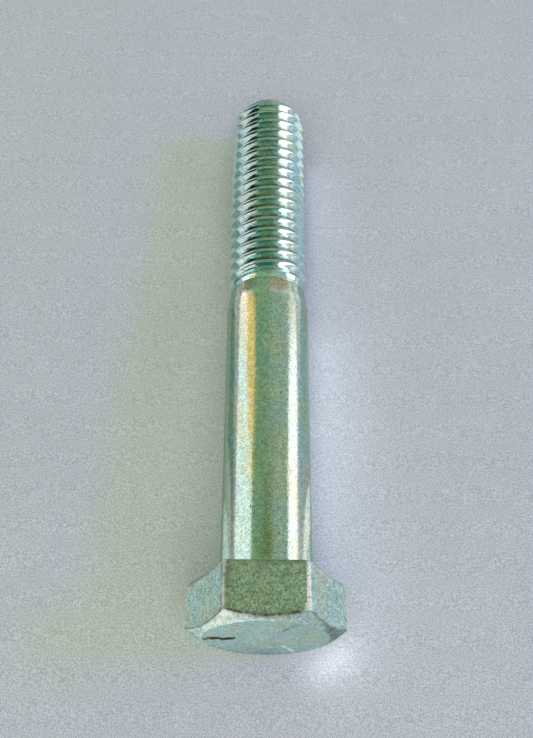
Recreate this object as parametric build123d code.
from build123d import *
import math
import os

# Hex cap screw, 3/8-16 UNC x 2-1/2 in, zinc-plated medium carbon steel.
#
# The bolt is one forging, written as its three functional zones, which meet face to face:
#   hex_head      hexagon with a chamfered top, grade marks, bearing face and under-head fillet
#   shank         plain body with the shoulder cone that steps down to the thread
#   threaded_end  neck, thread run-out, full right-hand thread and chamfered point
#
# Frame: the origin is the centre of the bearing face on the bolt's axis. +Y runs from the head
# to the threaded tip, +Z is the normal of one head flat, and +X completes the set.
# All lengths are in millimetres and all angles in degrees.

# ---- driving dimensions ----
BOLT_LENGTH = 63.5  # from the bearing face to the tip, 2-1/2 in
BODY_DIAMETER = 9.38

ACROSS_FLATS = 14.0
HEAD_HEIGHT = 5.75
CORNER_RADIUS = 0.5  # rounding along the six upright edges
BEARING_EDGE_RADIUS = 0.45  # rounding between the flats and the bearing face
TOP_CIRCLE_DIAMETER = 12.8  # where the top chamfer meets the flat top
TOP_CHAMFER_ANGLE = 30.0
TOP_CIRCLE_BLEND = 0.6
NECK_FILLET = 0.4  # under-head fillet

MARK_COUNT = 3  # radial grade marks, 120 degrees apart
MARK_INNER = 3.2
MARK_OUTER = 6.05
MARK_WIDTH = 0.5
MARK_DEPTH = 0.2
MARK_WALL_ANGLE = 35.0

SHOULDER_START = 32.4
SHOULDER_END = 34.5
NECK_DIAMETER = 8.66
SHOULDER_BLEND = 2.5

PITCH = 25.4 / 16
MAJOR_DIAMETER = 9.26
PITCH_DIAMETER = 8.42
ROOT_DIAMETER = 7.58
FLANK_ANGLE = 30.0
CREST_BEVEL = 0.06  # radial depth of the bevel where the crest meets a flank
CREST_STATION = 62.05  # a crest crosses the upward line of the bolt here
LEAD_IN = 1.3  # turns of thread made below the shoulder, then trimmed off
SPARE_TURNS = 3  # turns made beyond the length of the threaded zone, then trimmed off
CREST_CLEARANCE = 0.2  # how far the trimming envelope stands off the full crests
CORE_INSET = 0.1  # how far the run-out core ends inside the thread root

RUNOUT_START = 34.9  # the first trace of thread
RUNOUT_END = 36.9  # full thread from here on

POINT_START = 61.0  # where the chamfered point begins
POINT_MIDDLE = (4.18, 62.5)  # radius and station halfway round the domed chamfer
POINT_END_DIAMETER = 6.9
CUP_RADIUS = 2.2  # shallow cup that thread rolling leaves in the end face
CUP_DEPTH = 0.25


def body_radius():
    return BODY_DIAMETER / 2


def to_bolt_frame(shape):
    """Turn a shape built along +Z so that its axis runs along +Y."""
    return Rot(-90, 0, 0) * shape


def revolved(*edges):
    """Solid of revolution about the axis, from edges in the radius-station plane."""
    profile = make_face(Wire(edges))
    return revolve(profile, Axis.Z)


def at(radius, station):
    return Vector(radius, 0, station)


def outline(*points):
    """Closed run of straight edges through points of the radius-station plane."""
    corners = [at(*point) for point in points]
    return Wire.make_polygon(corners, close=True)


# ---- head ----
def head_envelope():
    """Round envelope of the head: chamfered top, with the chamfer's inner edge softened."""
    reach = ACROSS_FLATS
    top_radius = TOP_CIRCLE_DIAMETER / 2
    drop = (reach - top_radius) * math.tan(math.radians(TOP_CHAMFER_ANGLE))
    profile = Face(
        outline(
            (0, -HEAD_HEIGHT),
            (top_radius, -HEAD_HEIGHT),
            (reach, -HEAD_HEIGHT + drop),
            (reach, BOLT_LENGTH),
            (0, BOLT_LENGTH),
        )
    )
    rim = profile.vertices().sort_by_distance(at(top_radius, -HEAD_HEIGHT))[0]
    return revolve(profile.fillet_2d(TOP_CIRCLE_BLEND, [rim]), Axis.Z)


def under_head_collar():
    """Concave fillet between the bearing face and the shank."""
    outer = body_radius() + NECK_FILLET
    middle = NECK_FILLET * (1 - math.sin(math.radians(45)))
    return revolved(
        Edge.make_line(at(0, -HEAD_HEIGHT / 2), at(outer, -HEAD_HEIGHT / 2)),
        Edge.make_line(at(outer, -HEAD_HEIGHT / 2), at(outer, 0)),
        Edge.make_three_point_arc(
            at(outer, 0),
            at(body_radius() + middle, middle),
            at(body_radius(), NECK_FILLET),
        ),
        Edge.make_line(at(body_radius(), NECK_FILLET), at(0, NECK_FILLET)),
        Edge.make_line(at(0, NECK_FILLET), at(0, -HEAD_HEIGHT / 2)),
    )


def grade_mark():
    """Cutter for one stamped radial mark, pointing along -X, with sloping walls."""
    length = MARK_OUTER - MARK_INNER
    middle = -(MARK_OUTER + MARK_INNER) / 2
    slot = Pos(middle, 0, -HEAD_HEIGHT) * SlotOverall(length, MARK_WIDTH)
    return extrude(slot, amount=MARK_DEPTH, taper=MARK_WALL_ANGLE)


def hex_head():
    blank = extrude(
        fillet(
            RegularPolygon(ACROSS_FLATS / 2, 6, major_radius=False).vertices(),
            CORNER_RADIUS,
        ),
        amount=-HEAD_HEIGHT,
    )
    bearing_edges = blank.edges().group_by(Axis.Z)[-1]
    head = fillet(bearing_edges, BEARING_EDGE_RADIUS) & head_envelope()
    head += under_head_collar()
    for index in range(MARK_COUNT):
        head -= Rot(0, 0, index * 360 / MARK_COUNT) * grade_mark()
    return to_bolt_frame(head)


# ---- shank ----
def shank():
    neck_radius = NECK_DIAMETER / 2
    profile = Face(
        outline(
            (0, NECK_FILLET),
            (body_radius(), NECK_FILLET),
            (body_radius(), SHOULDER_START),
            (neck_radius, SHOULDER_END),
            (0, SHOULDER_END),
        )
    )
    corner = profile.vertices().sort_by_distance(at(body_radius(), SHOULDER_START))[0]
    return to_bolt_frame(revolve(profile.fillet_2d(SHOULDER_BLEND, [corner]), Axis.Z))


# ---- thread ----
def pitch_profile():
    """Axial profile of one pitch: radius and station from the foot of a ridge to the next one."""
    crest_radius = MAJOR_DIAMETER / 2
    root_radius = ROOT_DIAMETER / 2
    shoulder_radius = crest_radius - CREST_BEVEL
    lean = math.tan(math.radians(FLANK_ANGLE))
    crest_half = PITCH / 4 - (MAJOR_DIAMETER - PITCH_DIAMETER) / 2 * lean
    shoulder_half = crest_half + CREST_BEVEL * lean
    foot_half = crest_half + (crest_radius - root_radius) * lean
    return [
        (root_radius, -foot_half),
        (shoulder_radius, -shoulder_half),
        (crest_radius, CREST_BEVEL - crest_half),
        (crest_radius, crest_half - CREST_BEVEL),
        (shoulder_radius, shoulder_half),
        (root_radius, foot_half),
        (root_radius, PITCH - foot_half),
    ]


def coil(radius, station):
    """One right-hand turn about the axis, starting on the +X line at a station."""
    return Pos(0, 0, station) * Edge.make_helix(PITCH, PITCH, radius).edge()


def turn_faces(start):
    """Helical faces of one turn of thread."""
    coils = [coil(radius, start + station) for radius, station in pitch_profile()]
    return [Face.make_surface_from_curves(low, high) for low, high in zip(coils, coils[1:])]


def ramp_faces(start):
    """Helicoid under a turn, and the flat step that joins its two ends."""
    profile = pitch_profile()
    radius, station = profile[0]
    foot = start + station
    axis_edge = Edge.make_line(at(0, foot), at(0, foot + PITCH))
    ramp = Face.make_surface_from_curves(axis_edge, coil(radius, foot))
    rim = [(radius, start + station) for radius, station in profile]
    step = Face(outline((0, foot), *rim, (0, foot + PITCH)))
    return [ramp, step]


def endless_thread():
    """Full-form right-hand thread that runs past both ends of the threaded zone."""
    turns = math.ceil((BOLT_LENGTH - SHOULDER_END) / PITCH) + SPARE_TURNS
    faces = ramp_faces(0) + ramp_faces(turns * PITCH)
    for index in range(turns):
        faces += turn_faces(index * PITCH)
    bottom = SHOULDER_END - LEAD_IN * PITCH
    start_angle = -90 - 360 * (CREST_STATION - bottom) / PITCH
    return Pos(0, 0, bottom) * Rot(0, 0, start_angle) * Solid(Shell(faces))


def thread_envelope():
    """Outer limit of the threaded zone: crests grow out of the neck and end at the point."""
    clear = MAJOR_DIAMETER / 2 + CREST_CLEARANCE
    neck_radius = NECK_DIAMETER / 2
    growth = (clear - neck_radius) / (RUNOUT_END - RUNOUT_START)
    sunk = neck_radius - growth * (RUNOUT_START - SHOULDER_END)
    end_radius = POINT_END_DIAMETER / 2
    return revolved(
        Edge.make_line(at(0, SHOULDER_END), at(sunk, SHOULDER_END)),
        Edge.make_line(at(sunk, SHOULDER_END), at(clear, RUNOUT_END)),
        Edge.make_line(at(clear, RUNOUT_END), at(clear, POINT_START)),
        Edge.make_three_point_arc(at(clear, POINT_START), at(*POINT_MIDDLE), at(end_radius, BOLT_LENGTH)),
        Edge.make_line(at(end_radius, BOLT_LENGTH), at(0, BOLT_LENGTH)),
        Edge.make_line(at(0, BOLT_LENGTH), at(0, SHOULDER_END)),
    )


def neck_core():
    """Neck, and the cone under the run-out where the thread root has not reached full depth."""
    neck_radius = NECK_DIAMETER / 2
    inside = ROOT_DIAMETER / 2 - CORE_INSET
    return revolve(
        Face(
            outline(
                (0, SHOULDER_END),
                (neck_radius, SHOULDER_END),
                (neck_radius, RUNOUT_START),
                (inside, RUNOUT_END),
                (0, RUNOUT_END),
            )
        ),
        Axis.Z,
    )


def end_cup():
    """Cutter for the shallow cup in the end face."""
    ball_radius = (CUP_RADIUS**2 + CUP_DEPTH**2) / (2 * CUP_DEPTH)
    return Pos(0, 0, BOLT_LENGTH - CUP_DEPTH + ball_radius) * Sphere(ball_radius)


def threaded_end():
    thread = endless_thread() & thread_envelope()
    thread = thread + neck_core() - end_cup()
    return to_bolt_frame(thread)


os.makedirs("parts", exist_ok=True)
for name, make in {"hex_head": hex_head, "shank": shank, "threaded_end": threaded_end}.items():
    export_step(make(), f"parts/{name}.step")
